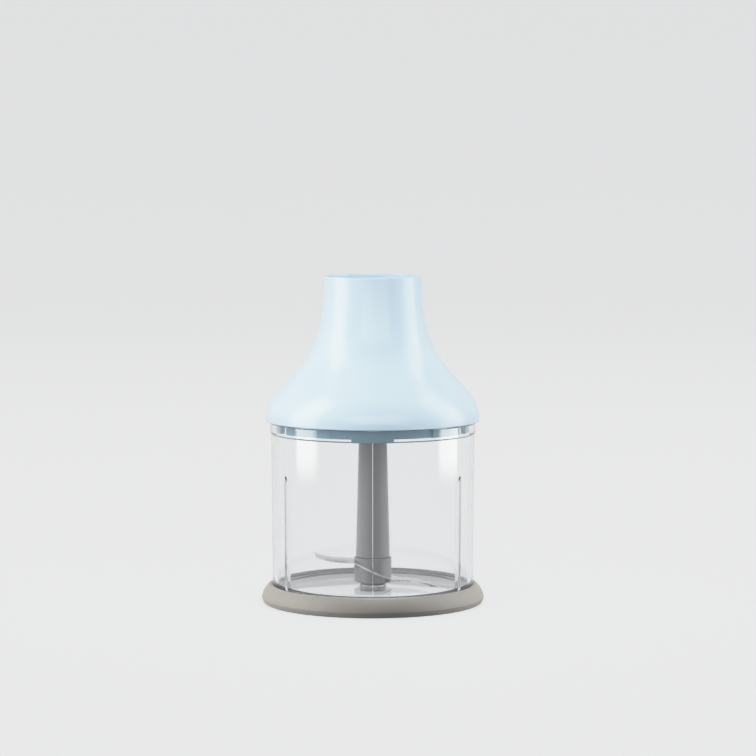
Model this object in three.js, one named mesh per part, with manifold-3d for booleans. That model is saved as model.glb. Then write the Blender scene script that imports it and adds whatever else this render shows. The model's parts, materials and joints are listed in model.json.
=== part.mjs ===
// A hand-blender chopper: a clear bowl with a two-winged blade that spins on a pin, a bell-shaped lid
// that holds a planetary gearbox, and a soft ring under the bowl.
// Millimetres. The chopper stands on z = 0, its axis is +Z and its front faces -Y.
import * as THREE from 'three';
import { mergeVertices } from 'three/addons/utils/BufferGeometryUtils.js';
import Module from 'manifold-3d';

const wasm = await Module();
wasm.setup();

// Heights of the assemblies, and how finely round work is cut.
const bladeHeight = 10.4; // origin of the blade unit, just under the hub's wide part
const lidHeight = 100.2; // lower edge of the lid
const wide = 36; // sides of a large round piece
const medium = 24;
const narrow = 12;
const front = -90; // degrees from +X

// Gear train: a sun drives three planets in a fixed ring, and their carrier drives the blade.
const gearModule = 0.8;
const sunTeeth = 12;
const planetTeeth = 18;
const ringTeeth = sunTeeth + 2 * planetTeeth;
const pressureAngle = THREE.MathUtils.degToRad(25);
const toothTip = 0.8 * gearModule;
const toothRoot = 1.1 * gearModule;
const toothSlack = 0.09; // taken off each tooth's width
const planetOrbit = (gearModule * (sunTeeth + planetTeeth)) / 2;
const planetAngles = [0, 120, 240];

// The blade lies between two hub halves on a slanted plane through the hub.
const hubRadius = 10.3;
const hubHeight = 14.5;
const hubFoot = 0.8; // how far the narrow foot goes below that, round the bowl's boss
const slantHeight = 7.2; // height of the slanted plane on the axis
const slantSlope = 0.456;
const bladeThickness = 1;
const bladeRoot = 10.4; // where each wing leaves the hub
const bladeHalfWidth = 8;

// Three screws hold the gear cover to the lid's plate.
const screwCircle = 28;
const screwAngles = [90, 210, 330];
const lugAngles = [45, 135, 225, 315]; // bayonet lugs between bowl and lid
const ribAngles = [front - 60, front + 60, front + 180];

// --- Shapes ---------------------------------------------------------------------------------------

function radians(degrees) {
  return THREE.MathUtils.degToRad(degrees);
}

function polar(radius, angle) {
  return new THREE.Vector2(radius * Math.cos(angle), radius * Math.sin(angle));
}

function solid(geometry) {
  geometry.deleteAttribute('normal');
  geometry.deleteAttribute('uv');
  const merged = mergeVertices(geometry, 1e-4);
  return new wasm.Manifold(
    new wasm.Mesh({
      numProp: 3,
      vertProperties: merged.attributes.position.array,
      triVerts: new Uint32Array(merged.index.array),
    }),
  );
}

function join(first, ...others) {
  return others.reduce((sum, other) => sum.add(other), first);
}

function cut(first, ...others) {
  return others.reduce((rest, other) => rest.subtract(other), first);
}

// Points of an arc in radius and height, angles in degrees.
function arc(centre, height, radius, from, to, steps) {
  return Array.from({ length: steps + 1 }, (_, i) => {
    const angle = radians(from + ((to - from) * i) / steps);
    return [centre + radius * Math.cos(angle), height + radius * Math.sin(angle)];
  });
}

// Points of a cubic curve.
function curve(from, pullFrom, pullTo, to, steps) {
  const ends = [from, pullFrom, pullTo, to].map(([x, y]) => new THREE.Vector2(x, y));
  return new THREE.CubicBezierCurve(...ends).getPoints(steps).map((p) => [p.x, p.y]);
}

// A line of points moved to its left by a wall's thickness.
function inset(points, wall) {
  return points.map(([x, y], i) => {
    const before = points[Math.max(i - 1, 0)];
    const after = points[Math.min(i + 1, points.length - 1)];
    const run = after[0] - before[0];
    const rise = after[1] - before[1];
    const length = Math.hypot(run, rise);
    return [x - (wall * rise) / length, y + (wall * run) / length];
  });
}

// Turns an outline of [radius, height] points about the Z axis.
function revolve(outline, sides) {
  const points = outline.map(([radius, height]) => new THREE.Vector2(radius, height));
  if (THREE.ShapeUtils.area(points) < 0) points.reverse();
  if (points[0].x > 0) points.push(points[0].clone());
  return solid(new THREE.LatheGeometry(points, sides).rotateX(Math.PI / 2));
}

function rod(radius, bottom, top, sides, x = 0, y = 0) {
  return revolve([[0, bottom], [radius, bottom], [radius, top], [0, top]], sides).translate(x, y, 0);
}

function tube(inner, outer, bottom, top, sides) {
  return revolve([[inner, bottom], [outer, bottom], [outer, top], [inner, top]], sides);
}

// Raises a flat shape between two heights.
function raise(shape, bottom, top, curveSegments = 8) {
  const options = { depth: top - bottom, bevelEnabled: false, curveSegments };
  return solid(new THREE.ExtrudeGeometry(shape, options).translate(0, 0, bottom));
}

// A piece of a ring, its middle and width in degrees.
function sector(inner, outer, middle, width, bottom, top) {
  const from = radians(middle - width / 2);
  const to = radians(middle + width / 2);
  const shape = new THREE.Shape();
  shape.absarc(0, 0, outer, from, to, false);
  shape.absarc(0, 0, inner, to, from, true);
  return raise(shape, bottom, top);
}

// An upright fin: an outline of [radius, height] points, given a width and turned to an angle.
function fin(outline, width, degrees) {
  const shape = new THREE.Shape(outline.map(([radius, height]) => new THREE.Vector2(radius, height)));
  const plate = new THREE.ExtrudeGeometry(shape, { depth: width, bevelEnabled: false });
  plate.translate(0, 0, -width / 2);
  plate.rotateX(Math.PI / 2);
  plate.rotateZ(radians(degrees));
  return solid(plate);
}

function block(sizeX, sizeY, bottom, top) {
  return solid(new THREE.BoxGeometry(sizeX, sizeY, top - bottom).translate(0, 0, (top + bottom) / 2));
}

// --- Gears ----------------------------------------------------------------------------------------

// A gear's outline with involute flanks. Slack thins the teeth, and less than none widens them.
function gearOutline(teeth, rootRadius, tipRadius, slack) {
  const pitchRadius = (gearModule * teeth) / 2;
  const baseRadius = pitchRadius * Math.cos(pressureAngle);
  const involute = (radius) => {
    const angle = Math.acos(Math.min(1, baseRadius / radius));
    return Math.tan(angle) - angle;
  };
  const halfTooth = (radius) =>
    Math.PI / 2 / teeth - slack / 2 / pitchRadius + involute(pitchRadius) - involute(radius);
  const flank = [rootRadius, (rootRadius + tipRadius) / 2, tipRadius];
  const points = [];
  for (let tooth = 0; tooth < teeth; tooth += 1) {
    const middle = (2 * Math.PI * tooth) / teeth;
    flank.forEach((radius) => points.push(polar(radius, middle - halfTooth(radius))));
    flank.toReversed().forEach((radius) => points.push(polar(radius, middle + halfTooth(radius))));
  }
  return points;
}

function spurGear(teeth, bore, height) {
  const pitchRadius = (gearModule * teeth) / 2;
  const outline = gearOutline(teeth, pitchRadius - toothRoot, pitchRadius + toothTip, toothSlack);
  const shape = new THREE.Shape(outline);
  shape.holes.push(new THREE.Path().absarc(0, 0, bore, 0, 2 * Math.PI, true));
  return raise(shape, 0, height);
}

// The ring's teeth are what is left between the teeth of a gear cut out of it. A tooth lies on +X.
function ringGear(outerRadius, height) {
  const pitchRadius = (gearModule * ringTeeth) / 2;
  const outline = gearOutline(ringTeeth, pitchRadius - toothTip, pitchRadius + toothRoot, -toothSlack);
  const halfPitch = Math.PI / ringTeeth;
  const origin = new THREE.Vector2(0, 0);
  const shape = new THREE.Shape().absarc(0, 0, outerRadius, 0, 2 * Math.PI, false);
  shape.holes.push(new THREE.Path(outline.map((point) => point.rotateAround(origin, halfPitch)).reverse()));
  return raise(shape, 0, height, medium);
}

// --- Base and bowl --------------------------------------------------------------------------------

// A soft ring with an open centre: the bowl's foot stands on its inner shelf.
function nonSlipBase() {
  const opening = 46.5;
  const wall = 55.6;
  const shelf = 3;
  const outline = [
    [opening, 0.5],
    [opening + 0.5, 0],
    ...arc(59.9, 1.5, 1.5, -90, 0, 2),
    ...arc(50.6, 1.5, 10.8, 9, 53.5, 5),
    [wall, 10.2],
    [wall, shelf + 0.6],
    [wall - 0.6, shelf],
    [opening, shelf],
  ];
  return revolve(outline, wide);
}

const bowlFloor = 9.2;
const bowlWallBottom = 55.25; // outer radius low on the wall
const bowlWallTop = 56; // outer radius under the rim band

function bowl() {
  const outline = [
    [0, 3.6],
    [7, 3.6],
    [7, 6.6],
    [49.5, 6.6],
    [49.5, 3.3],
    [54.3, 3.3],
    [bowlWallBottom, 5],
    [bowlWallTop, 93.7],
    [56.5, 93.9],
    [56.5, 99.7],
    [55.1, 99.9],
    [55.1, 103.4],
    [53.6, 103.4],
    ...arc(48.55, bowlFloor + 4.2, 4.2, 0, -90, 3),
    [4.6, bowlFloor],
    [4.6, 11.5],
    [2.7, 11.5],
    [2.7, 4.6],
    [0, 4.6],
  ];
  const ribs = ribAngles.map((angle) =>
    fin([[51, 8.2], [54, 8.2], [54, 72.9], [53.3, 72.5], [51, 69]], 2.4, angle),
  );
  const partingLines = [front, front + 180].map((angle) =>
    fin([[54.8, 10.6], [55.55, 10.6], [56.25, 93.7], [54.8, 93.7]], 0.5, angle),
  );
  const lugs = lugAngles.map((angle) => sector(54.5, 56.3, angle, 20, 101.9, 103.4));
  return join(revolve(outline, wide), ...ribs, ...partingLines, ...lugs);
}

function pivotPin() {
  return revolve([[0, 5], [2.5, 5], [2.5, 63.3], [1.8, 64], [0, 64]], narrow);
}

// --- Blade unit, measured from the underside of its hub ---------------------------------------------

// A slab parallel to the slanted plane, between two distances from it.
function slantedSlab(below, above) {
  const reach = 60;
  const slab = new THREE.BoxGeometry(reach, reach, above - below).translate(0, 0, (above + below) / 2);
  slab.rotateY(Math.atan(slantSlope));
  return solid(slab.translate(0, 0, slantHeight));
}

const hubClearance = 0.8; // from the slanted plane to each hub half

function hubBase() {
  const outline = [
    [5.4, -hubFoot],
    [7, -hubFoot],
    [7, 0.9],
    [hubRadius - 0.3, 0.9],
    [hubRadius, 1.2],
    [hubRadius, hubHeight],
    [6.5, hubHeight],
    [6.5, 1.8],
    [5.4, 1.8],
  ];
  return cut(revolve(outline, medium), slantedSlab(-hubClearance, 40));
}

function hubCollar() {
  const outline = [
    [6.5, 0],
    [hubRadius, 0],
    [hubRadius, hubHeight - 0.6],
    [hubRadius - 0.6, hubHeight],
    [6.5, hubHeight],
  ];
  return cut(revolve(outline, medium), slantedSlab(-40, hubClearance));
}

// One wing lies flat at the height where the slanted bridge meets its root.
function bladeWing(height) {
  const tip = [-34.5, 33.5];
  const shape = new THREE.Shape(
    [
      ...curve([-bladeRoot, -bladeHalfWidth], [-24, -7], [-33, 10], tip, 9),
      ...curve(tip, [-31, 20], [-24, 8], [-bladeRoot, bladeHalfWidth], 7).slice(1),
    ].map(([x, y]) => new THREE.Vector2(x, y)),
  );
  return raise(shape, height - bladeThickness / 2, height + bladeThickness / 2);
}

function choppingBlade() {
  const rise = slantSlope * bladeRoot;
  const bridgeEnd = bladeRoot + 0.5;
  const footprint = join(
    block(2 * bridgeEnd, 2 * bladeHalfWidth, 0, hubHeight),
    rod(hubRadius + 0.4, 0, hubHeight, medium),
  );
  const bridge = footprint.intersect(slantedSlab(-bladeThickness / 2, bladeThickness / 2));
  const upperWing = bladeWing(slantHeight + rise);
  const lowerWing = bladeWing(slantHeight - rise).rotate(0, 0, 180);
  return cut(join(bridge, upperWing, lowerWing), rod(6.5, -1, hubHeight + 1, narrow));
}

function bladeSleeve() {
  const outline = [
    [4.6, 2.1],
    [6.2, 2.1],
    [6.2, 14.8],
    [9.4, 14.8],
    [7.8, 77.8],
    [7.2, 78.6],
    [3, 78.6],
    [3, 73.6],
    [4.6, 73.6],
  ];
  return revolve(outline, medium);
}

function driveTip() {
  const core = [[0, 74.6], [2.8, 74.6], [2.8, 79], [3.4, 79], [3.4, 87.3], [2.6, 88.1], [0, 88.1]];
  return join(revolve(core, narrow), block(12, 4, 79, 87.1));
}

// --- Lid, measured from its lower edge --------------------------------------------------------------

const lidWall = 2.1;

function lidShell() {
  const shoulder = curve([58.8, 2.8], [58.8, 8.8], [54, 14.9], [47, 22.5], 5);
  const neck = curve([47, 22.5], [34, 36.5], [26.9, 46.8], [26.9, 79], 7).slice(1);
  const outside = [...shoulder, ...neck];
  const ledge = 1.3;
  const outline = [
    [55.4, 0],
    ...arc(58, 0.8, 0.8, -90, 0, 2),
    ...outside,
    [26.4, 79.8],
    [25, 79.8],
    ...inset(outside, lidWall).reverse(),
    [56.7, ledge],
    [55.4, ledge],
  ];
  const notches = lugAngles.map((angle) => sector(54, 56.7, angle, 26, -1, ledge));
  return cut(revolve(outline, wide), ...notches);
}

const skirtOuter = 53;
const skirtInner = 51;
const plateBottom = 4.7;
const plateTop = 6.3;

function lidBase() {
  const outline = [
    [10.7, -10.6],
    [11.8, -10.6],
    [11.8, plateBottom],
    [skirtInner, plateBottom],
    [skirtInner, -5.2],
    [skirtOuter, -5.2],
    [skirtOuter, plateBottom],
    [55.6, plateBottom],
    [55.6, plateTop],
    [22.8, plateTop],
    [22.8, 8.9],
    [20.4, 8.9],
    [20.4, plateTop],
    [10.7, plateTop],
  ];
  const slotWidth = 7;
  const slotOutline = [[49, -6], [54, -6], [54, 3.5], [49, 3.5]];
  const slots = [27, 63 + 90, 27 + 180, 63 - 90].map((angle) => fin(slotOutline, slotWidth, angle));
  const places = screwAngles.map((angle) => polar(screwCircle, radians(angle)));
  const bosses = places.map(({ x, y }) => rod(3.2, -0.7, plateTop - 0.5, narrow, x, y));
  const holes = places.map(({ x, y }) => rod(1.6, 0.3, plateTop + 1, narrow, x, y));
  const key = sector(skirtInner, skirtOuter - 0.1, front, 24.6, -6.3, 0);
  return cut(join(revolve(outline, wide), ...bosses, key), ...slots, ...holes);
}

function neckLiner() {
  const floor = 36.3;
  const outline = [
    [9.6, 34.3],
    [24.2, 34.3],
    [24.2, 71.5],
    [24.5, 71.8],
    [24.5, 72.8],
    [22.4, 72.8],
    [22.4, floor],
    [11.2, floor],
    [11.2, 41.8],
    [9.6, 41.8],
  ];
  const lugs = [30, 150, 270].map((angle) => sector(20.6, 22.9, angle, 36, 59.8, 62.8));
  return join(revolve(outline, wide), ...lugs);
}

// --- Gearbox, measured from the lid's lower edge ----------------------------------------------------

function gearCover() {
  const outline = [
    [23.2, 6.4],
    [25, 6.4],
    ...arc(23.5, 19.7, 1.5, 0, 90, 3),
    [8.2, 21.2],
    [8.2, 26.8],
    [5.9, 26.8],
    [5.9, 19.2],
    [23.2, 19.2],
  ];
  const ears = screwAngles.map((angle) => {
    const ear = new THREE.Shape();
    ear.absarc(screwCircle, 0, 3.5, -Math.PI / 2, Math.PI / 2, false);
    ear.lineTo(24, 3.5);
    ear.lineTo(24, -3.5);
    ear.holes.push(new THREE.Path().absarc(screwCircle, 0, 1.8, 0, 2 * Math.PI, true));
    return raise(ear, 6.4, 8.8).rotate(0, 0, angle);
  });
  return join(revolve(outline, wide), ...ears);
}

function planetHoles(bottom, top) {
  return planetAngles.map((angle) => {
    const { x, y } = polar(planetOrbit, radians(angle));
    return rod(2.2, bottom, top, narrow, x, y);
  });
}

// The carrier's lower hub is the socket that turns the blade unit's drive tip. Its two lugs leave the
// tip room to turn while the lid is twisted on.
function planetCarrier() {
  const outline = [
    [6.6, -9.6],
    [8.6, -9.6],
    [8.6, 6.8],
    [18.8, 6.8],
    [18.8, 8.7],
    [3.3, 8.7],
    [3.3, 2.8],
    [6.6, 2.8],
  ];
  const lugOutline = [[3.9, -9], [7.4, -9], [7.4, 3.5], [3.9, 3.5]];
  const lugs = [90, 270].map((angle) => fin(lugOutline, 4, angle));
  return cut(join(revolve(outline, medium), ...lugs), ...planetHoles(6, 9));
}

function carrierRing() {
  return cut(tube(6.4, 18.2, 16.7, 18.4, medium), ...planetHoles(16, 19));
}

function inputShaft() {
  return revolve([[0, 6.1], [3, 6.1], [3, 49.7], [2.4, 50.3], [0, 50.3]], narrow);
}

// Six round lobes that the motor's coupling slips over.
function driveDog() {
  const lobes = 6;
  const steps = 6 * lobes;
  const points = Array.from({ length: steps }, (_, i) => {
    const angle = (2 * Math.PI * i) / steps;
    return polar(6.3 + 0.9 * Math.cos(lobes * angle), angle);
  });
  return cut(raise(new THREE.Shape(points), 40.8, 52.8), rod(3.2, 40, 50.8, narrow));
}

function gearScrew() {
  const head = rod(2.8, 9, 10.8, narrow);
  const shank = rod(1.3, 1.3, 9.5, narrow);
  return cut(join(head, shank), block(3.4, 0.8, 10.1, 12), block(0.8, 3.4, 10.1, 12));
}

// --- Assembly -------------------------------------------------------------------------------------

function look(color, roughness, metalness = 0) {
  return new THREE.MeshStandardMaterial({ color, roughness, metalness });
}

const pastelBlue = look('#c9e0ec', 0.35);
const slateBlue = look('#7c9fae', 0.45);
const clear = look('#e9eef0', 0.08);
const greyPlastic = look('#9b9b9c', 0.5);
const softGrey = look('#a09e99', 0.75);
const steel = look('#c6c8ca', 0.25, 1);
const bronze = look('#b08a5a', 0.45, 1);
const whiteNylon = look('#eeeeea', 0.5);
const silicone = look('#dfe3e4', 0.6);

function place(parent, name, body, material, position = [0, 0, 0], turn = 0) {
  const { vertProperties, triVerts } = body.getMesh();
  const geometry = new THREE.BufferGeometry();
  geometry.setAttribute('position', new THREE.BufferAttribute(new Float32Array(vertProperties), 3));
  geometry.setIndex(new THREE.BufferAttribute(new Uint32Array(triVerts), 1));
  geometry.computeVertexNormals();
  const mesh = new THREE.Mesh(geometry, material.clone());
  mesh.name = name;
  mesh.position.set(...position);
  mesh.rotation.z = turn;
  parent.add(mesh);
}

const chopper = new THREE.Group();
const bladeUnit = new THREE.Group();
const lid = new THREE.Group();
const gearbox = new THREE.Group();
bladeUnit.position.z = bladeHeight;
lid.position.z = lidHeight;
lid.add(gearbox);
chopper.add(bladeUnit, lid);

place(chopper, 'non_slip_base', nonSlipBase(), softGrey);
place(chopper, 'bowl', bowl(), clear);
place(chopper, 'pivot_pin', pivotPin(), steel);

place(bladeUnit, 'hub_base', hubBase(), greyPlastic);
place(bladeUnit, 'chopping_blade', choppingBlade(), steel);
place(bladeUnit, 'hub_collar', hubCollar(), greyPlastic);
place(bladeUnit, 'blade_sleeve', bladeSleeve(), greyPlastic);
place(bladeUnit, 'drive_tip', driveTip(), steel);
place(bladeUnit, 'lower_bush', tube(2.65, 4.3, 2.6, 12.6, narrow), bronze);
place(bladeUnit, 'upper_bush', tube(2.65, 4.3, 43.6, 51.6, narrow), bronze);

place(lid, 'lid_shell', lidShell(), pastelBlue);
place(lid, 'lid_base', lidBase(), slateBlue);
place(lid, 'lid_seal', tube(53.3, 55.4, 3.4, 4.5, wide), silicone);
place(lid, 'neck_liner', neckLiner(), pastelBlue);

place(gearbox, 'gear_cover', gearCover(), greyPlastic);
place(gearbox, 'ring_gear', ringGear(22.9, 7.4), whiteNylon, [0, 0, 9.2]);
place(gearbox, 'sun_gear', spurGear(sunTeeth, 3.15, 7.2), steel, [0, 0, 9.3]);
place(gearbox, 'planet_carrier', planetCarrier(), whiteNylon);
place(gearbox, 'carrier_ring', carrierRing(), whiteNylon);
place(gearbox, 'input_shaft', inputShaft(), steel);
place(gearbox, 'input_bush', tube(3.15, 5.75, 19.8, 26.2, narrow), bronze);
place(gearbox, 'retaining_clip', sector(3.2, 5, 90, 300, 27.1, 27.9), steel);
place(gearbox, 'drive_dog', driveDog(), whiteNylon);
place(gearbox, 'output_bush', tube(8.85, 10.4, -4.2, 3.4, medium), bronze);
place(gearbox, 'output_seal', tube(8.85, 10.4, -10, -5.7, medium), silicone);

planetAngles.forEach((degrees, i) => {
  const angle = radians(degrees);
  const { x, y } = polar(planetOrbit, angle);
  const meshed = angle + Math.PI - Math.PI / planetTeeth; // a gap between teeth faces the sun's tooth
  const gear = spurGear(planetTeeth, 2.25, 7);
  place(gearbox, `planet_gear_${i + 1}`, gear, whiteNylon, [x, y, 9.3], meshed);
  place(gearbox, `planet_pin_${i + 1}`, rod(2, 0, 11.4, narrow), steel, [x, y, 7]);
});

screwAngles.forEach((degrees, i) => {
  const { x, y } = polar(screwCircle, radians(degrees));
  place(gearbox, `gear_screw_${i + 1}`, gearScrew(), steel, [x, y, 0]);
});

export default chopper;
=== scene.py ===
"""A hand-blender chopper: clear bowl, blade on a sleeve, pale blue bell-shaped lid and soft base ring.

Outlines are in millimetres as (radius, height), or (radius, height, rounding) for a rounded corner, and
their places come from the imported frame. Meshes are built in metres.
"""

import json
import math

import bmesh
import bpy
from mathutils import Matrix, Vector


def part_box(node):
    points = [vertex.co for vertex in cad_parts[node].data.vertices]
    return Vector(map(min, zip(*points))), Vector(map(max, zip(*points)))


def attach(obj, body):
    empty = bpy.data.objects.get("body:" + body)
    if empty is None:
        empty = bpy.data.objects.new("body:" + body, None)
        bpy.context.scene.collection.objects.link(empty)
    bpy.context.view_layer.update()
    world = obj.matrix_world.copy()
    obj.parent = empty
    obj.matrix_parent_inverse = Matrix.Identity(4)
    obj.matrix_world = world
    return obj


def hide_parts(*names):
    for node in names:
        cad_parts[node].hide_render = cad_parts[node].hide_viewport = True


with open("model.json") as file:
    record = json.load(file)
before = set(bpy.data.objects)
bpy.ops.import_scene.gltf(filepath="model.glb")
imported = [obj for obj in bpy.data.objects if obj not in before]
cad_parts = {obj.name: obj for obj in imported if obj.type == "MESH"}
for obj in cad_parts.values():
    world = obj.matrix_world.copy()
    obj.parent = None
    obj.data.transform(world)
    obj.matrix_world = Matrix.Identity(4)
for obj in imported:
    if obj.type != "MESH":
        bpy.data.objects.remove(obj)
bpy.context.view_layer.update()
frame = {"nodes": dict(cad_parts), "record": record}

MM = 0.001
FRONT = -90  # degrees from +X
ROUND = 192  # sides of a turned piece
SHARP = 38  # degrees between faces, above which an edge stays sharp

lid_body = "lid"
bowl_body = "bowl"
blade_body = "blade_unit"
input_body = "input"
carrier_body = "carrier"


# --- Places from the frame ---------------------------------------------------------------------------


def bottom(node):
    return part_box(node)[0][2] / MM


def top(node):
    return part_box(node)[1][2] / MM


def reach(node):
    """A round node's outer radius."""
    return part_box(node)[1][0] / MM


# --- Outlines ---------------------------------------------------------------------------------------


def rounded(corners, closed=True, steps=5):
    """The points of an outline whose corners may each have a rounding."""
    points = []
    count = len(corners)
    for i, corner in enumerate(corners):
        here = Vector(corner[:2])
        size = corner[2] if len(corner) > 2 else 0
        if not size or (not closed and i in (0, count - 1)):
            points.append(here)
            continue
        start, end = here.copy(), here.copy()
        for point, other in ((start, corners[i - 1]), (end, corners[(i + 1) % count])):
            away = Vector(other[:2]) - here
            point += away.normalized() * min(size, away.length * 0.49)
        for step in range(steps + 1):
            t = step / steps
            points.append(start.lerp(here, t).lerp(here.lerp(end, t), t))
    return points


def bezier(a, b, c, d, steps):
    """Points of a cubic curve from a to d."""
    points = []
    for step in range(steps + 1):
        t = step / steps
        s = 1 - t
        x = s**3 * a[0] + 3 * s * s * t * b[0] + 3 * s * t * t * c[0] + t**3 * d[0]
        y = s**3 * a[1] + 3 * s * s * t * b[1] + 3 * s * t * t * c[1] + t**3 * d[1]
        points.append((x, y))
    return points


def arc(centre, height, radius, start, end, steps):
    """Points of an arc, its angles in degrees."""
    points = []
    for step in range(steps + 1):
        angle = math.radians(start + (end - start) * step / steps)
        points.append((centre + radius * math.cos(angle), height + radius * math.sin(angle)))
    return points


def inset(points, wall):
    """A line of points moved to its left by a wall's thickness."""
    moved = []
    last = len(points) - 1
    for i, (x, y) in enumerate(points):
        before, after = points[max(i - 1, 0)], points[min(i + 1, last)]
        run, rise = after[0] - before[0], after[1] - before[1]
        length = math.hypot(run, rise)
        moved.append((x - wall * rise / length, y + wall * run / length))
    return moved


# --- Meshes -----------------------------------------------------------------------------------------


def finish_mesh(name, mesh, sharp=SHARP):
    """A smooth-shaded object from a bmesh, with its true corners kept sharp."""
    bmesh.ops.recalc_face_normals(mesh, faces=mesh.faces)
    data = bpy.data.meshes.new(name)
    mesh.to_mesh(data)
    mesh.free()
    data.shade_smooth()
    data.set_sharp_from_angle(angle=math.radians(sharp))
    piece = bpy.data.objects.new(name, data)
    bpy.context.scene.collection.objects.link(piece)
    return piece


def even_normals(piece):
    """Shades flat stretches flat where they meet small roundings."""
    modifier = piece.modifiers.new("normals", "WEIGHTED_NORMAL")
    modifier.keep_sharp = True
    return piece


def even_angles(sides=ROUND):
    """Angles of a turned piece's sides, the first one at the front."""
    return [math.radians(FRONT) + 2 * math.pi * i / sides for i in range(sides)]


def spin(name, outline, angles=None, warp=None, closed=True):
    """Turns an outline about the Z axis. warp(radius, height, angle) may move a point."""
    angles = angles or even_angles()
    mesh = bmesh.new()
    poles = {i: mesh.verts.new((0, 0, z * MM)) for i, (r, z) in enumerate(outline) if r < 1e-6}
    rows = []
    for angle in angles:
        row = []
        for i, (r, z) in enumerate(outline):
            if i in poles:
                row.append(poles[i])
                continue
            if warp:
                r, z = warp(r, z, angle)
            row.append(mesh.verts.new((r * math.cos(angle) * MM, r * math.sin(angle) * MM, z * MM)))
        rows.append(row)
    count = len(outline)
    for j, row in enumerate(rows):
        following = rows[(j + 1) % len(rows)]
        for i in range(count if closed else count - 1):
            k = (i + 1) % count
            corners = dict.fromkeys((row[i], row[k], following[k], following[i]))
            if len(corners) > 2:
                mesh.faces.new(corners)
    return even_normals(finish_mesh(name, mesh))


def box_mesh(name, low, high):
    """A box between two corners."""
    mesh = bmesh.new()
    bmesh.ops.create_cube(mesh, size=1)
    for vertex in mesh.verts:
        for axis in range(3):
            share = vertex.co[axis] + 0.5
            vertex.co[axis] = (low[axis] + (high[axis] - low[axis]) * share) * MM
    return finish_mesh(name, mesh)


def carve(piece, tool, operation="DIFFERENCE"):
    """Cuts a piece by a tool, or joins the two, and removes the tool."""
    modifier = piece.modifiers.new("carve", "BOOLEAN")
    modifier.operation = operation
    modifier.solver = "EXACT"
    modifier.object = tool
    evened = [m for m in piece.modifiers if m.type == "WEIGHTED_NORMAL"]
    for other in evened:
        piece.modifiers.remove(other)
    graph = bpy.context.evaluated_depsgraph_get()
    shape = bpy.data.meshes.new_from_object(piece.evaluated_get(graph))
    piece.modifiers.clear()
    piece.data = shape
    shape.shade_smooth()
    shape.set_sharp_from_angle(angle=math.radians(SHARP))
    bpy.data.objects.remove(tool)
    return even_normals(piece)


def loft(name, sections):
    """A closed body through sections that have the same number of points, with both ends capped."""
    mesh = bmesh.new()
    rows = [[mesh.verts.new([value * MM for value in point]) for point in section] for section in sections]
    count = len(sections[0])
    for row, following in zip(rows, rows[1:]):
        for i in range(count):
            k = (i + 1) % count
            mesh.faces.new((row[i], row[k], following[k], following[i]))
    mesh.faces.new(rows[0])
    mesh.faces.new(rows[-1])
    return finish_mesh(name, mesh, 25)


def soften(piece, width, segments):
    """Small roundings along a piece's sharp edges."""
    edges = piece.modifiers.new("edges", "BEVEL")
    edges.width = width * MM
    edges.segments = segments
    edges.limit_method = "ANGLE"
    edges.angle_limit = math.radians(50)
    return piece


def washer(inner, outer, low, high, rounding):
    """The outline of a plain ring with rounded corners."""
    corners = ((inner, low), (outer, low), (outer, high), (inner, high))
    return rounded([(*corner, rounding) for corner in corners])


# --- Materials --------------------------------------------------------------------------------------


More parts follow.
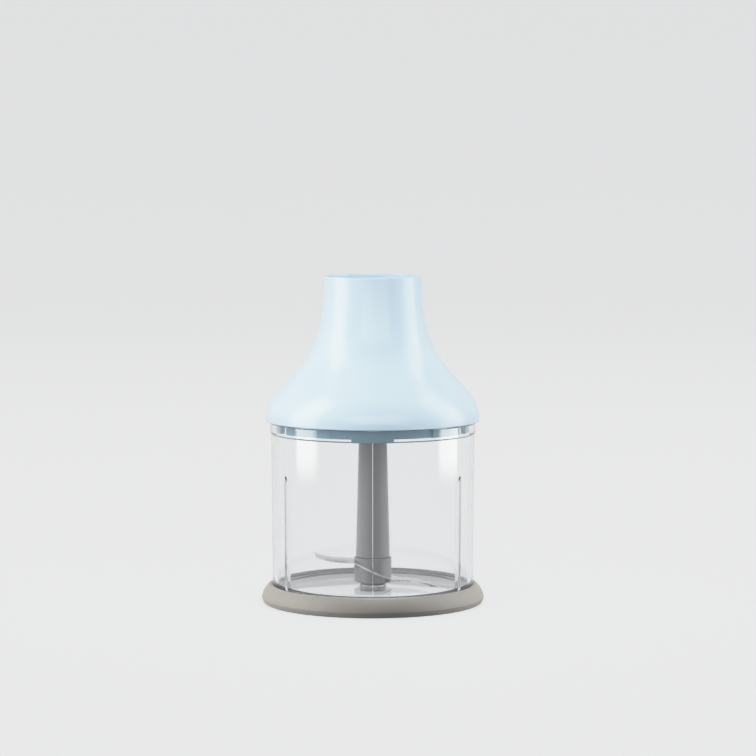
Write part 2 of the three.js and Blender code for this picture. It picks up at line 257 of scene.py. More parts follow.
class Surface:
    """A node material around one Principled shader, with helpers for procedural detail."""

    def __init__(self, name, roughness, **sockets):
        self.material = bpy.data.materials.new(name)
        self.material.use_nodes = True
        self.nodes = self.material.node_tree.nodes
        self.links = self.material.node_tree.links
        self.shader = self.nodes["Principled BSDF"]
        self.shader.inputs["Roughness"].default_value = roughness
        for socket, value in sockets.items():
            self.shader.inputs[socket.replace("_", " ")].default_value = value
        self.place = self.nodes.new("ShaderNodeTexCoord")

    def noise(self, scale, detail=2.0, stretch=(1, 1, 1)):
        """A noise's value, its scale in features per metre, stretched along an axis where given."""
        mapping = self.nodes.new("ShaderNodeMapping")
        mapping.inputs["Scale"].default_value = stretch
        noise = self.nodes.new("ShaderNodeTexNoise")
        noise.inputs["Scale"].default_value = scale
        noise.inputs["Detail"].default_value = detail
        self.links.new(self.place.outputs["Object"], mapping.inputs["Vector"])
        self.links.new(mapping.outputs["Vector"], noise.inputs["Vector"])
        return noise.outputs["Fac"]

    def spread(self, value, low, high):
        """Maps a noise's middle range to low and high."""
        mapped = self.nodes.new("ShaderNodeMapRange")
        mapped.inputs["From Min"].default_value = 0.3
        mapped.inputs["From Max"].default_value = 0.7
        mapped.inputs["To Min"].default_value = low
        mapped.inputs["To Max"].default_value = high
        self.links.new(value, mapped.inputs["Value"])
        return mapped.outputs["Result"]

    def colour(self, colour, scale, change):
        """A base colour that varies a little from place to place."""
        mix = self.nodes.new("ShaderNodeMix")
        mix.data_type = "RGBA"
        mix.inputs["A"].default_value = [min(1, c * (1 - change)) for c in colour] + [1]
        mix.inputs["B"].default_value = [min(1, c * (1 + change)) for c in colour] + [1]
        self.links.new(self.spread(self.noise(scale), 0, 1), mix.inputs["Factor"])
        self.links.new(mix.outputs["Result"], self.shader.inputs["Base Color"])
        return self

    def roughness(self, scale, low, high, stretch=(1, 1, 1)):
        """A roughness that varies between low and high."""
        value = self.spread(self.noise(scale, 3, stretch), low, high)
        self.links.new(value, self.shader.inputs["Roughness"])
        return self

    def relief(self, *layers):
        """Bump layers, each a noise's scale, its height in mm and a stretch."""
        normal = None
        for scale, height, stretch in layers:
            bump = self.nodes.new("ShaderNodeBump")
            bump.inputs["Distance"].default_value = height * MM
            self.links.new(self.noise(scale, 3, stretch), bump.inputs["Height"])
            if normal:
                self.links.new(normal, bump.inputs["Normal"])
            normal = bump.outputs["Normal"]
        self.links.new(normal, self.shader.inputs["Normal"])
        return self

    def absorbs(self, colour, density):
        """The plastic darkens where light travels far inside it, as along edges and ribs."""
        volume = self.nodes.new("ShaderNodeVolumeAbsorption")
        volume.inputs["Color"].default_value = [*colour, 1]
        volume.inputs["Density"].default_value = density
        self.links.new(volume.outputs["Volume"], self.nodes["Material Output"].inputs["Volume"])
        return self

    def lets_lamps_through(self, tint):
        """Lamps shine through the clear plastic on to what is inside it."""
        clear = self.nodes.new("ShaderNodeBsdfTransparent")
        clear.inputs["Color"].default_value = [*tint, 1]
        path = self.nodes.new("ShaderNodeLightPath")
        mix = self.nodes.new("ShaderNodeMixShader")
        output = self.nodes["Material Output"]
        self.links.new(path.outputs["Is Shadow Ray"], mix.inputs["Fac"])
        self.links.new(self.shader.outputs["BSDF"], mix.inputs[1])
        self.links.new(clear.outputs["BSDF"], mix.inputs[2])
        self.links.new(mix.outputs["Shader"], output.inputs["Surface"])
        return self


EVEN = (1, 1, 1)


def pastel_blue():
    """Semi-gloss moulded plastic with a very faint orange-peel."""
    surface = Surface("pastel_blue_plastic", 0.3, Specular_IOR_Level=0.5)
    surface.colour((0.62, 0.78, 0.91), 25, 0.012)
    surface.roughness(60, 0.2, 0.26)
    return surface.relief((90, 0.006, EVEN), (2600, 0.001, EVEN)).material


def slate_blue():
    """Blue moulded plastic of the lid's inner plate, its colour darkened as painted shade for the shadow
    under the lid's edge.
    """
    surface = Surface("shade_darkened_blue_plastic", 0.45, Specular_IOR_Level=0.3)
    # painted shade: this dark colour stands in for the shade under the lid's overhang and behind the clear
    # rim
    surface.colour((0.17, 0.30, 0.37), 40, 0.02)
    surface.roughness(120, 0.4, 0.5)
    return surface.relief((1800, 0.002, EVEN)).material


def clear_plastic():
    """Polished clear plastic with a little flow unevenness."""
    surface = Surface("clear_plastic", 0.02, Transmission_Weight=1.0, IOR=1.5)
    surface.colour((0.985, 0.987, 0.988), 12, 0.004)
    surface.roughness(90, 0.01, 0.035)
    surface.relief((45, 0.005, (1, 1, 0.4)))
    surface.absorbs((0.62, 0.66, 0.68), 26)
    return surface.lets_lamps_through((0.9, 0.91, 0.92)).material


def grey_plastic():
    """Finely textured satin grey plastic."""
    surface = Surface("grey_plastic", 0.45)
    surface.colour((0.11, 0.108, 0.108), 40, 0.03)
    surface.roughness(150, 0.3, 0.4)
    return surface.relief((4200, 0.004, EVEN), (900, 0.004, EVEN)).material


def soft_grey():
    """Matte warm-grey elastomer with a fine grain."""
    surface = Surface("soft_grey_elastomer", 0.68, Sheen_Weight=0.15, Specular_IOR_Level=0.4)
    surface.colour((0.275, 0.262, 0.24), 55, 0.03)
    surface.roughness(220, 0.58, 0.74)
    return surface.relief((3000, 0.012, EVEN), (500, 0.01, EVEN)).material


def ground_steel():
    """Stainless steel with fine grinding marks."""
    surface = Surface("ground_steel", 0.25, Metallic=1.0)
    surface.colour((0.66, 0.66, 0.665), 300, 0.05)
    surface.roughness(1400, 0.2, 0.36, (0.08, 1, 1))
    return surface.relief((2600, 0.0004, (0.06, 1, 1))).material


def sintered_bronze():
    """Grainy porous bronze."""
    surface = Surface("sintered_bronze", 0.42, Metallic=1.0)
    surface.colour((0.45, 0.3, 0.15), 2500, 0.2)
    surface.roughness(1800, 0.34, 0.55)
    return surface.relief((3000, 0.01, EVEN)).material


def natural_nylon():
    """Off-white satin nylon."""
    surface = Surface("natural_nylon", 0.45)
    surface.colour((0.82, 0.81, 0.77), 80, 0.02)
    surface.roughness(200, 0.4, 0.52)
    return surface.relief((1500, 0.006, EVEN)).material


def silicone():
    """Milky soft silicone."""
    surface = Surface("milky_silicone", 0.5, Subsurface_Weight=0.2, Subsurface_Scale=0.002)
    surface.colour((0.72, 0.76, 0.78), 90, 0.02)
    surface.roughness(260, 0.45, 0.6)
    return surface.relief((1200, 0.008, EVEN)).material


def studio_paper():
    """Pale paper of the floor and the sweep, which glows a little."""
    glow = {"Emission_Color": (0.985, 0.99, 1, 1), "Emission_Strength": 0.6}
    surface = Surface("studio_paper", 0.9, Specular_IOR_Level=0.2, **glow)
    surface.colour((0.5, 0.505, 0.51), 2, 0.004)
    return surface.relief((900, 0.01, EVEN)).material


MATERIALS = {
    "pastel_blue": pastel_blue(),
    "slate_blue": slate_blue(),
    "clear_bowl": clear_plastic(),
    "grey_plastic": grey_plastic(),
    "soft_grey": soft_grey(),
    "steel": ground_steel(),
    "bronze": sintered_bronze(),
    "white_nylon": natural_nylon(),
    "silicone": silicone(),
}


def dress(piece, body, slot, *nodes):
    """Gives a piece its material and body, and hides the CAD nodes that it stands for."""
    piece.data.materials.clear()
    piece.data.materials.append(MATERIALS[slot])
    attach(piece, body)
    if nodes:
        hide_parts(*nodes)
    return piece


def dress_cad_nodes():
    """Every CAD node that stays gets its slot's material."""
    for entry in frame["record"]["subparts"]:
        node = frame["nodes"][entry["node"]]
        for holder in node.material_slots:
            holder.material = MATERIALS[entry["material_slot"]]


# --- Base ring --------------------------------------------------------------------------------------


def base_ring():
    """Soft ring with a bulging side, a shelf for the bowl's foot and an open centre."""
    height = top("non_slip_base")
    radius = reach("non_slip_base")
    opening = 46.5
    seat = 55.6  # inner radius of the wall round the bowl's foot
    shelf = 3.0
    bulge = 10.8
    side = arc(radius - bulge, 1.5, bulge, 6, 52, 16)
    under = [(opening, 0.3, 0.3), (opening + 0.5, 0, 0.2), (radius - 1.2, 0, 1.0), side[0]]
    over = [
        side[-1],
        (seat + 0.3, height, 0.25),
        (seat, height, 0.2),
        (seat, shelf, 0.6),
        (opening, shelf, 0.4),
        (opening, 0.3),
    ]
    outline = rounded(under, False) + side[1:] + rounded(over, False)[1:]
    dress(spin("soft_base_ring", outline), "base", "soft_grey", "non_slip_base")


# --- Bowl -------------------------------------------------------------------------------------------

RIB_ANGLES = [math.radians(FRONT + turn) for turn in (-60, 60, 180)]
LINE_ANGLES = [math.radians(FRONT), math.radians(FRONT + 180)]
LUG_ANGLES = [math.radians(turn) for turn in (45, 135, 225, 315)]
BOWL_FLOOR = 9.2
RIB_RADIUS = 51.0
RIB_TOP = 72.5
RIB_FADE = 3.5  # height over which a rib runs out into the wall
LINE_RISE = 0.09
LUG_RISE = 1.2
BOWL_LOW, BOWL_HIGH = 55.25, 56.0  # outer radius at the foot and below the rim
COLLAR = 55.1  # radius of the rim between its lugs


def smooth_step(value, low, high):
    """0 below low, 1 above high and a soft step between."""
    share = min(1, max(0, (value - low) / (high - low)))
    return share * share * (3 - 2 * share)


def turn_between(a, b):
    """The smaller angle between two directions."""
    return abs((a - b + math.pi) % (2 * math.pi) - math.pi)


def bowl_angles():
    """Even angles, with more where a rib, parting line or lug starts and ends."""
    rib_steps = [mm / 52 for mm in (0, 0.4, 0.72, 0.8, 0.9, 1.0, 1.1, 1.2, 1.3, 1.5, 2.0)]
    line_steps = [mm / 56 for mm in (0, 0.05, 0.1, 0.15, 0.2, 0.3, 0.6)]
    lug_steps = [math.radians(turn) for turn in (9.2, 9.6, 9.8, 10.0, 10.2, 10.6)]
    angles = even_angles(180)
    near = math.radians(1.2)
    for middles, steps in ((RIB_ANGLES, rib_steps), (LINE_ANGLES, line_steps), (LUG_ANGLES, lug_steps)):
        for middle in middles:
            extra = sorted({middle + side * step for step in steps for side in (-1, 1)})
            angles = [a for a in angles if all(turn_between(a, b) > near / 3 for b in extra)]
            angles += extra
    return sorted(a % (2 * math.pi) for a in angles)


def bowl_warp(r, z, angle):
    """Raises the ribs inside the wall, the fine parting lines outside it and the lugs on the collar."""
    if 47 < r < 54 and z > BOWL_FLOOR + 0.4:
        for middle in RIB_ANGLES:
            across = turn_between(angle, middle) * r
            if across < 3:
                rise = 1 - smooth_step(across, 0.72, 1.3)
                rise *= 1 - smooth_step(z, RIB_TOP - RIB_FADE, RIB_TOP)
                if r > RIB_RADIUS:
                    r -= (r - RIB_RADIUS) * rise
    if 54.8 < r < 56.2 and 10.6 < z < 93.4:
        for middle in LINE_ANGLES:
            across = turn_between(angle, middle) * r
            if across < 0.6:
                r += LINE_RISE * (1 - smooth_step(across, 0.04, 0.2))
    if 54.6 < r < 55.6 and z > 101.8:
        for middle in LUG_ANGLES:
            turn = math.degrees(turn_between(angle, middle))
            r += LUG_RISE * (1 - smooth_step(turn, 9.6, 10.2))
    return r, z


def bowl():
    """The clear bowl in one outline: its foot, wall, rim, inside, floor and centre boss."""
    rim = top("bowl")
    wall_low, wall_top = 5, rim - 9.8
    foot_low, foot_high = 3.3, 6.6
    pin_hole = 2.7
    boss = 4.6
    inner_top, inner_low = 53.6, 52.75
    slope = (inner_top - inner_low) / (rim - BOWL_FLOOR)
    heights = [rim - 3, 90, 80, 74, 73, 72.4, 71.8, 71, 70, 69.2, 68.4, 67, 60, 50, 40, 30, 20, 15]
    inner_wall = [(inner_low + slope * (z - BOWL_FLOOR), z) for z in heights]
    taper = (BOWL_HIGH - BOWL_LOW) / (wall_top - wall_low)
    outer_wall = [(BOWL_LOW + taper * (z - wall_low), z) for z in (10.4, 11, 30, 50, 70, 90, 93)]
    corners = [
        (0, 3.6),
        (7, 3.6, 0.4),
        (7, foot_high, 0.6),
        (49.5, foot_high, 0.8),
        (49.5, foot_low, 0.6),
        (54.3, foot_low, 0.8),
        (BOWL_LOW, wall_low, 0.8),
        *outer_wall,
        (BOWL_HIGH, wall_top, 0.25),
        (reach("bowl"), wall_top + 0.4, 0.3),
        (reach("bowl"), rim - 3.7, 0.4),
        (COLLAR, rim - 3.5, 0.2),
        (COLLAR, rim - 1.7),
        (COLLAR, rim - 1.45),
        (COLLAR, rim - 0.2, 0.1),
        (COLLAR - 0.2, rim, 0.15),
        (inner_top, rim, 0.35),
        *inner_wall,
        (inner_low, BOWL_FLOOR, 4.2),
        (30, BOWL_FLOOR),
        (boss, BOWL_FLOOR, 0.5),
        (boss, 11.5, 0.4),
        (pin_hole, 11.5, 0.2),
        (pin_hole, 4.6),
        (0, 4.6),
    ]
    piece = spin("clear_bowl", rounded(corners, False), bowl_angles(), bowl_warp, closed=False)
    dress(piece, bowl_body, "clear_bowl", "bowl")


def pin():
    """The pin that the blade unit turns on, with a chamfered top."""
    low, high = bottom("pivot_pin"), top("pivot_pin")
    corners = [(0, low), (2.5, low, 0.3), (2.5, high - 0.7, 0.2), (1.8, high, 0.3), (0, high)]
    piece = spin("polished_pin", rounded(corners, False), even_angles(48), closed=False)
    dress(piece, bowl_body, "steel", "pivot_pin")


# --- Blade unit -------------------------------------------------------------------------------------

HUB_RADIUS = 10.3
HUB_BORE = 6.4
SLANT = 0.456  # fall of the blade's bridge per millimetre along X
BLADE = 1.0  # the blade's thickness
BLADE_ROOT = 10.4  # where a wing leaves the bridge
BLADE_HALF = 8.0  # half its width there
blade_low = bottom("chopping_blade")
blade_high = top("chopping_blade")
blade_middle = (blade_low + blade_high) / 2
hub_foot = bottom("hub_base")
hub_low = hub_foot + 0.8
hub_high = top("hub_collar")


def slanted_box(name, below, above):
    """A slab parallel to the slanted plane of the blade's bridge, between two distances from it."""
    piece = box_mesh(name, (-30, -30, below), (30, 30, above))
    angle = math.atan(SLANT)
    cosine, sine = math.cos(angle), math.sin(angle)
    for vertex in piece.data.vertices:
        x, y, z = vertex.co
        turned = Vector((x * cosine + z * sine, y, z * cosine - x * sine))
        vertex.co = turned + Vector((0, 0, blade_middle * MM))
    return piece


def hub():
    """Two moulded hub halves that clamp the blade's slanted bridge."""
    gap = 0.52  # from the bridge's middle to each half
    far = 60
    foot_inner, foot_outer = 5.4, 7.0
    lower = [
        (foot_inner, hub_foot, 0.1),
        (foot_outer, hub_foot, 0.25),
        (foot_outer, hub_low + 0.9, 0.2),
        (HUB_RADIUS, hub_low + 0.9, 0.5),
        (HUB_RADIUS, hub_high),
        (HUB_BORE, hub_high),
        (HUB_BORE, hub_low + 1.8),
        (foot_inner, hub_low + 1.8),
    ]
    upper = [
        (HUB_BORE, hub_low),
        (HUB_RADIUS, hub_low),
        (HUB_RADIUS, hub_high, 0.7),
        (HUB_BORE, hub_high, 0.2),
    ]
    for name, outline, below, above, node in (
        ("hub_lower_half", lower, -gap, far, "hub_base"),
        ("hub_upper_half", upper, -far, gap, "hub_collar"),
    ):
        half = spin(name, rounded(outline), even_angles(128))
        carve(half, slanted_box("cutter", below, above))
        dress(half, blade_body, "grey_plastic", node)


def wing_sections(height, side):
    """Sections of one wing from root to tip; side is 1 for the upper wing and -1 for the lower."""
    tip = (-34.5, 33.5)
    count = 26
    edge = bezier((-BLADE_ROOT, -BLADE_HALF), (-24, -7), (-33, 10), tip, count)
    back = bezier((-BLADE_ROOT, BLADE_HALF), (-24, 8), (-31, 20), tip, count)
    sections = []
    for i in range(count):
        ground = smooth_step(i, 0.5, 3)
        cut_edge, spine = Vector(edge[i]), Vector(back[i])
        width = (spine - cut_edge).length
        grind = cut_edge.lerp(spine, min(3.2, 0.55 * width) / width)
        base, face = height - BLADE / 2, height + BLADE / 2
        edge_top = face - (BLADE - 0.1) * ground
        points = [
            (*cut_edge, base),
            (*cut_edge, edge_top),
            (*grind, face),
            (*cut_edge.lerp(spine, 0.85), face),
            (*spine, face),
            (*spine, base),
        ]
        if side < 0:
            points = [(-x, -y, z) for x, y, z in reversed(points)]
        sections.append(points)
    return sections


def bridge_sections():
    """Sections of the slanted bridge, wider where it fills the hub."""
    sections = []
    steps = 20
    for step in range(1, steps):
        x = -BLADE_ROOT + 2 * BLADE_ROOT * step / steps
        half = max(BLADE_HALF, math.sqrt(max(0, (HUB_RADIUS + 0.35) ** 2 - x * x)))
        z = blade_middle - SLANT * x
        low, high = z - 0.55 * BLADE, z + 0.55 * BLADE
        sections.append([
            (x, -half, low),
            (x, -half, high),
            (x, -half * 0.5, high),
            (x, half * 0.5, high),
            (x, half, high),
            (x, half, low),
        ])
    return sections


def blade():
    """The stepped S-shaped blade: an upper wing, the slanted bridge and a lower wing."""
    upper = wing_sections(blade_high - BLADE / 2, 1)
    lower = wing_sections(blade_low + BLADE / 2, -1)
    piece = loft("ground_blade", upper[::-1] + bridge_sections() + lower)
    bore = spin("bore", [(0, 0), (6.5, 0), (6.5, 40), (0, 40)], even_angles(64), closed=False)
    carve(piece, bore)
    soften(piece, 0.07, 2)
    dress(piece, blade_body, "steel", "chopping_blade")


def sleeve():
    """The tapered tube above the hub."""
    low, high = bottom("blade_sleeve"), top("blade_sleeve")
    corners = [
        (4.6, low),
        (HUB_BORE - 0.2, low),
        (HUB_BORE - 0.2, hub_high + 0.3),
        (9.4, hub_high + 0.15, 0.35),
        (7.8, high - 0.4, 0.9),
        (3.0, high, 0.3),
        (3.0, high - 5),
        (4.6, high - 5),
    ]
    dress(spin("tapered_sleeve", rounded(corners)), blade_body, "grey_plastic", "blade_sleeve")


def tip():
    """The steel tip of the sleeve, with two wings that the lid's socket turns."""
    low, high = bottom("drive_tip"), top("drive_tip")
    shoulder = low + 4.4
    core = [
        (0, low),
        (2.8, low),
        (2.8, shoulder),
        (3.4, shoulder),
        (3.4, high - 0.8, 0.3),
        (2.6, high, 0.3),
        (0, high),
    ]
    piece = spin("drive_key", rounded(core, False), even_angles(48), closed=False)
    wings = box_mesh("wings", (-6, -2, shoulder), (6, 2, high - 1.0))
    carve(piece, wings, "UNION")
    soften(piece, 0.25, 3)
    dress(piece, blade_body, "steel", "drive_tip")


# --- Lid --------------------------------------------------------------------------------------------

LID_WALL = 2.1
lid_edge = bottom("lid_shell")
lid_top = top("lid_shell")
lid_radius = reach("lid_shell")
NECK = 26.9
LEDGE = 56.7  # inner radius of the edge's notches
EDGE_LIP = 55.4  # inner radius of the edge between them
STEEP = 0.15  # degrees on each side of a span's end

# spans in degrees from the front, positive to the right
SKIRT_KEY = (-12.3, 12.3)
SKIRT_RECESS = (12.3, 36.6)
LEDGE_NOTCHES = [(middle - 13, middle + 13) for middle in (-135, -45, 45, 135)]
BAYONET_LUGS = [(middle - 18, middle + 18) for middle in (-120, 0, 120)]


def within(angle, span):
    """1 inside a span of degrees from the front, 0 outside it, with a steep side."""
    turn = math.degrees((angle - math.radians(FRONT) + math.pi) % (2 * math.pi) - math.pi)
    started, ended = (smooth_step(turn, end - STEEP, end + STEEP) for end in span)
    return started * (1 - ended)


def angles_with(spans):
    """Even angles, with more at the ends of each span."""
    sides = (-STEEP, -0.07, 0.07, STEEP)
    steps = [math.radians(FRONT + end + side) for span in spans for end in span for side in sides]
    return sorted({a % (2 * math.pi) for a in even_angles() + steps})


def lid_cover():
    """The bell: a bulged shoulder that sweeps up into the open neck."""
    edge = (lid_radius, lid_edge + 2.8)
    turn = (47, lid_edge + 22.5)  # where the shoulder's curve goes over into the neck's
    rim = (NECK, lid_top - 0.7)
    shoulder = bezier(edge, (lid_radius, lid_edge + 8.8), (54, lid_edge + 14.9), turn, 22)
    neck = bezier(turn, (34, lid_edge + 36.5), (NECK, lid_edge + 46.8), rim, 34)
    outside = shoulder + neck[1:]
    inside = inset(outside, LID_WALL)[::-1]
    lip_top = lid_edge + 1.3
    below = [(EDGE_LIP, lid_edge, 0.2), (lid_radius - 0.1, lid_edge, 0.9), outside[0]]
    above = [outside[-1], (NECK, lid_top, 0.55), (NECK - LID_WALL, lid_top, 0.4), inside[0]]
    outline = rounded(below, False) + outside[1:] + rounded(above, False)[1:] + inside[1:]
    outline += [(LEDGE, lip_top), (EDGE_LIP, lip_top)]

    def warp(r, z, angle):
        if r < LEDGE and z < lip_top + 0.05:
            r += (LEDGE - r) * sum(within(angle, span) for span in LEDGE_NOTCHES)
        return r, z

    piece = spin("lid_cover", outline, angles_with(LEDGE_NOTCHES), warp)
    dress(piece, lid_body, "pastel_blue", "lid_shell")


def neck_cup():
    """The cup inside the neck, with three bayonet lugs for the motor body."""
    low, high = bottom("neck_liner"), top("neck_liner")
    inner, outer = 22.4, 24.2
    hole, collar = 9.6, 11.2
    floor, collar_top = low + 2, low + 7.5
    lug_low, lug_high = low + 25.5, low + 28.5
    lug_rows = (lug_high + 0.1, lug_high, lug_high - 0.2, lug_low + 0.2, lug_low, lug_low - 0.1)
    corners = [
        (hole, low, 0.3),
        (outer, low, 0.8),
        (outer, high - 1.3, 0.15),
        (outer + 0.3, high - 1.0, 0.15),
        (outer + 0.3, high, 0.4),
        (inner, high, 0.4),
        *[(inner, z) for z in lug_rows],
        (inner, floor, 0.8),
        (collar, floor, 0.5),
        (collar, collar_top, 0.4),
        (hole, collar_top, 0.4),
    ]

    def warp(r, z, angle):
        if abs(r - inner) < 0.1 and lug_low - 0.05 < z < lug_high + 0.05:
            r -= 1.8 * sum(within(angle, span) for span in BAYONET_LUGS)
        return r, z

    piece = spin("neck_cup", rounded(corners), angles_with(BAYONET_LUGS), warp)
    dress(piece, lid_body, "pastel_blue", "neck_liner")


def lid_plate():
    """The lid's inner plate, with the plug skirt that shows through the bowl's clear rim."""
    low, high = bottom("lid_base"), top("lid_base")
    plate_low = lid_edge + 4.7
    plate_high = lid_edge + 6.3
    skirt_low = lid_edge - 5.2
    skirt_inner, skirt_outer = 51, 53
    hole, hub_outer = 10.7, 11.8
    wall_inner, wall_outer = 20.4, 22.8
    plate_edge = 55.6
    corners = [
        (hole, low, 0.2),
        (hub_outer, low, 0.3),
        (hub_outer, plate_low, 0.8),
        (skirt_inner, plate_low, 0.6),
        (skirt_inner, skirt_low, 0.3),
        (skirt_outer, skirt_low, 0.4),
        (skirt_outer, plate_low, 0.3),
        (plate_edge, plate_low, 0.2),
        (plate_edge, plate_high, 0.4),
        (wall_outer, plate_high, 0.3),
        (wall_outer, high, 0.3),
        (wall_inner, high, 0.3),
        (wall_inner, plate_high, 0.3),
        (hole, plate_high, 0.2),
    ]

    def warp(r, z, angle):
        if r > skirt_inner - 0.1 and z < skirt_low + 0.5:
            z -= 1.1 * within(angle, SKIRT_KEY)
        if abs(r - skirt_outer) < 1 and z < plate_low - 0.2:
            r -= 1.2 * within(angle, SKIRT_RECESS)
        return r, z

    piece = spin("lid_inner_plate", rounded(corners), angles_with((SKIRT_KEY, SKIRT_RECESS)), warp)
    slot_half = 3.5
    slot_low = (skirt_inner - 2, -slot_half, skirt_low - 2)
    slot_high = (skirt_outer + 1.5, slot_half, plate_low - 1.2)
    for turn in (-27, 27, 153, 207):
        slot = box_mesh("slot", slot_low, slot_high)
        slot.data.transform(Matrix.Rotation(math.radians(turn), 4, "Z"))
        carve(piece, slot)
    # the slate_blue material holds painted shade: the plate is darker than the pale blue plastic to stand in
    # for the shadow under the lid's edge
    dress(piece, lid_body, "slate_blue", "lid_base")


def seal():
    """The soft ring between the lid and the bowl's rim."""
    outline = washer(53.3, 55.4, bottom("lid_seal"), top("lid_seal"), 0.3)
    dress(spin("rim_seal", outline), "seal", "silicone", "lid_seal")


def drive_coupling():
    """Six round lobes that the motor's coupling slips over."""
    low, high = bottom("drive_dog"), top("drive_dog")
    corners = [
        (0, high - 2),
        (3.2, high - 2),
        (3.2, low, 0.2),
        (6.3, low, 0.4),
        (6.3, high, 0.9),
        (0, high),
    ]

    def warp(r, z, angle):
        if r > 4:
            r *= 1 + math.cos(6 * angle) / 7
        return r, z

    piece = spin("drive_coupling", rounded(corners, False), even_angles(144), warp, closed=False)
    dress(piece, input_body, "white_nylon", "drive_dog")


def output_socket():
    """The carrier's hub, whose two inner lugs turn the drive tip."""
    low, high = bottom("planet_carrier"), top("planet_carrier")
    socket, hub_outer, plate_outer, shaft_hole = 6.6, 8.6, 18.8, 3.3
    plate_low, socket_top = high - 1.9, high - 5.9
    corners = [
        (socket, low, 0.3),
        (hub_outer, low, 0.4),
        (hub_outer, plate_low, 0.3),
        (plate_outer, plate_low, 0.3),
        (plate_outer, high, 0.3),
        (shaft_hole, high, 0.2),
        (shaft_hole, socket_top, 0.2),
        (socket, socket_top, 0.3),
    ]
    piece = spin("output_socket", rounded(corners), even_angles(128))
    for side in (-1, 1):
        ends = sorted((side * 3.9, side * 7.4))
        lug = box_mesh("lug", (-2, ends[0], low + 0.6), (2, ends[1], low + 13.1))
        carve(piece, lug, "UNION")
    dress(piece, carrier_body, "white_nylon", "planet_carrier")


def output_rings():
    """The bush and the seal round the carrier's hub."""
    for name, node, slot in (
        ("turned_bush", "output_bush", "bronze"),
        ("lip_seal", "output_seal", "silicone"),
    ):
        outline = washer(8.85, 10.4, bottom(node), top(node), 0.25)
        dress(spin(name, outline), lid_body, slot, node)


# --- Camera, lights and stage -----------------------------------------------------------------------

# places and sizes in metres
AIM = Vector((0.00283, 0, 0.12375))
EYE = Vector((AIM.x, -1.6, 0.2542))
LENS = 139  # mm
WORLD = 0.18


def aim_at(thing, target):
    """Turns a camera or a lamp towards a point."""
    thing.rotation_euler = (target - thing.location).to_track_quat("-Z", "Y").to_euler()


def camera():
    """A long lens a little above the chopper, as in a product picture."""
    data = bpy.data.cameras.new("camera")
    data.lens = LENS
    data.sensor_width = 36
    data.clip_end = 50
    thing = bpy.data.objects.new("camera", data)
    thing.location = EYE
    aim_at(thing, AIM)
    bpy.context.scene.collection.objects.link(thing)
    bpy.context.scene.camera = thing


def softbox(name, place, size, radiance, target=(0, 0, 0.1), colour=(1, 1, 1), group=None):
    """A rectangular soft light of a given radiance, so that its size doesn't change how bright it looks."""
    data = bpy.data.lights.new(name, "AREA")
    data.shape = "RECTANGLE"
    data.size, data.size_y = size
    data.energy = radiance * math.pi * size[0] * size[1]
    data.color = colour
    thing = bpy.data.objects.new(name, data)
    thing.location = place
    aim_at(thing, Vector(target))
    thing.visible_camera = False
    if group:
        thing.light_linking.receiver_collection = group
    bpy.context.scene.collection.objects.link(thing)
    return thing


def soft_edges(data, side, low):
    """Fades a lamp towards its sides and its lower edge, each over a share of its size."""
    data.use_nodes = True
    nodes, links = data.node_tree.nodes, data.node_tree.links
    place = nodes.new("ShaderNodeNewGeometry")
    split = nodes.new("ShaderNodeSeparateXYZ")
    links.new(place.outputs["Parametric"], split.inputs["Vector"])
    strength = None
    for axis, edge, share in (("X", 0, side), ("X", 1, side), ("Y", 0, low)):
        fade = nodes.new("ShaderNodeMapRange")
        fade.interpolation_type = "SMOOTHSTEP"
        fade.inputs["From Min"].default_value = edge
        fade.inputs["From Max"].default_value = abs(edge - share)
        links.new(split.outputs[axis], fade.inputs["Value"])
        if strength:
            product = nodes.new("ShaderNodeMath")
            product.operation = "MULTIPLY"
            links.new(strength, product.inputs[0])
            links.new(fade.outputs["Result"], product.inputs[1])
            strength = product.outputs["Value"]
        else:
            strength = fade.outputs["Result"]
    links.new(strength, nodes["Emission"].inputs["Strength"])


def around(degrees, distance, height):
    """A place at an angle from the front, positive to the right."""
    angle = math.radians(degrees)
    return (distance * math.sin(angle), -distance * math.cos(angle), height)


def stage():
    """A pale sweep that glows a little, so that it looks even behind the clear bowl."""
    paper = studio_paper()
    ground = -0.03  # just below the ring; this and the next two are in millimetres
    flat = 2300
    sweep = 1100
    floor = spin("studio_floor", [(0, ground), (600, ground), (flat, ground)], even_angles(96), closed=False)
    outline = arc(flat, ground + sweep, sweep, -90, 0, 14) + [(flat + sweep, 2600)]
    floor.visible_diffuse = False
    back_wall = half_wall("studio_back", outline, 1)
    front_wall = half_wall("studio_front", outline, -1)
    front_wall.visible_glossy = False
    for part in (floor, back_wall, front_wall):
        part.data.materials.append(paper)
    return [floor, back_wall, front_wall]


def half_wall(name, outline, side):
    """The half of the studio wall behind the chopper (side 1) or in front of it (side -1)."""
    wall = spin(name, outline, even_angles(96), closed=False)
    mesh = bmesh.new()
    mesh.from_mesh(wall.data)
    other = [face for face in mesh.faces if face.calc_center_median().y * side < 0]
    bmesh.ops.delete(mesh, geom=other, context="FACES")
    mesh.to_mesh(wall.data)
    mesh.free()
    wall.visible_diffuse = False
    return wall


def light_group(name, pieces):
    """The pieces that a lamp lights."""
    group = bpy.data.collections.new(name)
    for piece in pieces:
        group.objects.link(piece)
    return group


def ambient():
    """The faint even light of the room."""
    world = bpy.data.worlds.new("studio")
    world.use_nodes = True
    background = world.node_tree.nodes["Background"]
    background.inputs["Color"].default_value = (0.97, 0.985, 1, 1)
    background.inputs["Strength"].default_value = WORLD
    bpy.context.scene.world = world


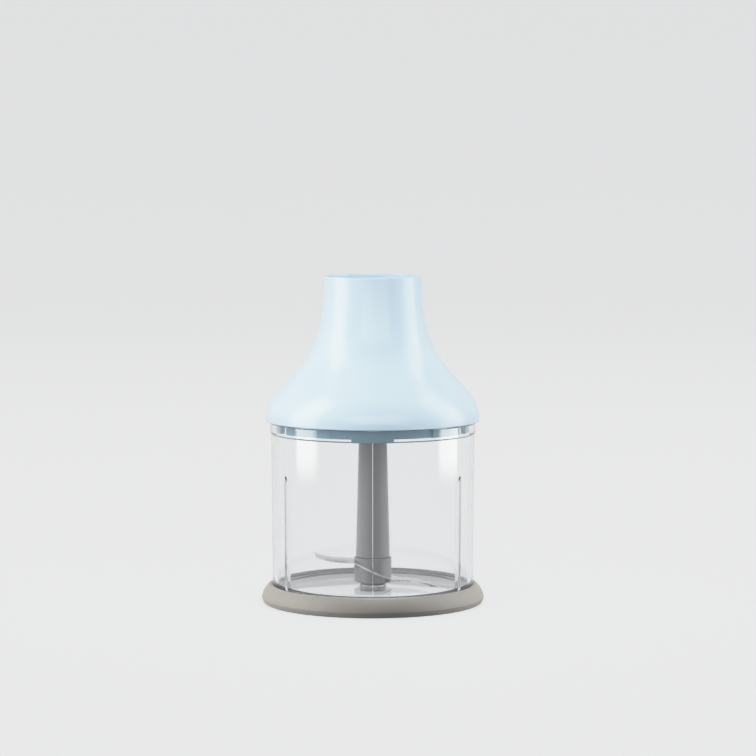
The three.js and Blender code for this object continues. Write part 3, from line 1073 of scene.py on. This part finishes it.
def lights(stage_pieces):
    """The lamps, each for the pieces that it is set for.

    The lid, the bowl, the blade unit, the ring and the stage have lamps of their own.
    """
    ambient()
    pieces = [o for o in bpy.context.scene.objects if o.type == "MESH" and o not in stage_pieces]
    upper_names = {"lid_cover", "neck_cup"}
    blade_names = {"tapered_sleeve", "hub_lower_half", "hub_upper_half"}
    upper = light_group("upper_pieces", [o for o in pieces if o.name in upper_names])
    lower = light_group("lower_pieces", [o for o in pieces if o.name not in upper_names])
    paper = light_group("stage_pieces", stage_pieces)
    blade_pieces = light_group("blade_pieces", [o for o in pieces if o.name in blade_names])
    ring = light_group("ring_pieces", [o for o in pieces if o.name == "soft_base_ring"])
    bowl_only = light_group("bowl_pieces", [o for o in pieces if o.name == "clear_bowl"])

    tall = (0.34, 0.92)
    middle = (0, 0, 0.46)
    left, right = around(-77, 0.55, 0.46), around(91, 0.55, 0.46)
    for side, place, radiance in (("left", left, 9.0), ("right", right, 8.6)):
        for part, group in (("softbox", lower), ("shine", bowl_only)):
            lamp = softbox(f"{side}_{part}", place, tall, radiance, middle, group=group)
            lamp.visible_transmission = False
            soft_edges(lamp.data, 0.2, 0.028)
    softbox("left_lid_softbox", left, tall, 4.0, middle, group=upper)
    softbox("right_lid_softbox", right, tall, 2.9, middle, group=upper)
    softbox("left_blade_softbox", left, tall, 20.0, middle, group=blade_pieces)
    softbox("right_blade_softbox", right, tall, 18.0, middle, group=blade_pieces)
    softbox("ring_softbox", (-1.0, -0.9, 0.12), (0.8, 0.2), 4.5, (0, 0, 0), group=ring)
    softbox("ring_fill", (0, -1.2, 0.04), (1.6, 0.07), 4.0, (0, 0, 0.01), group=ring)
    cool = (0.93, 0.97, 1)
    softbox("front_lid_softbox", (0.2, -1.9, 0.8), (2.4, 1.4), 2.6, (0, 0, 0.15), cool, upper)
    softbox("top_softbox", (0, 0.1, 2.2), (2.6, 2.6), 0.6)
    softbox("stage_softbox", (0, -0.5, 3.0), (5, 5), 0.4, (0, 0.5, 0), group=paper)


def tone_curve():
    """A photographic shoulder: middle tones stay as they are and bright ones are held below white."""
    view = bpy.context.scene.view_settings
    view.view_transform = "Standard"
    view.use_curve_mapping = True
    brightest = 3.0
    view.curve_mapping.white_level = [brightest] * 3
    curve = view.curve_mapping.curves[3]
    shoulder = [(0.35, 0.35), (0.7, 0.7), (1.0, 0.86), (1.5, 0.95), (2.0, 0.98)]
    for radiance, shown in shoulder:
        curve.points.new(radiance / brightest, shown)
    view.curve_mapping.update()


base_ring()
bowl()
pin()
hub()
blade()
sleeve()
tip()
lid_cover()
neck_cup()
lid_plate()
seal()
drive_coupling()
output_socket()
output_rings()
dress_cad_nodes()
camera()
lights(stage())
tone_curve()
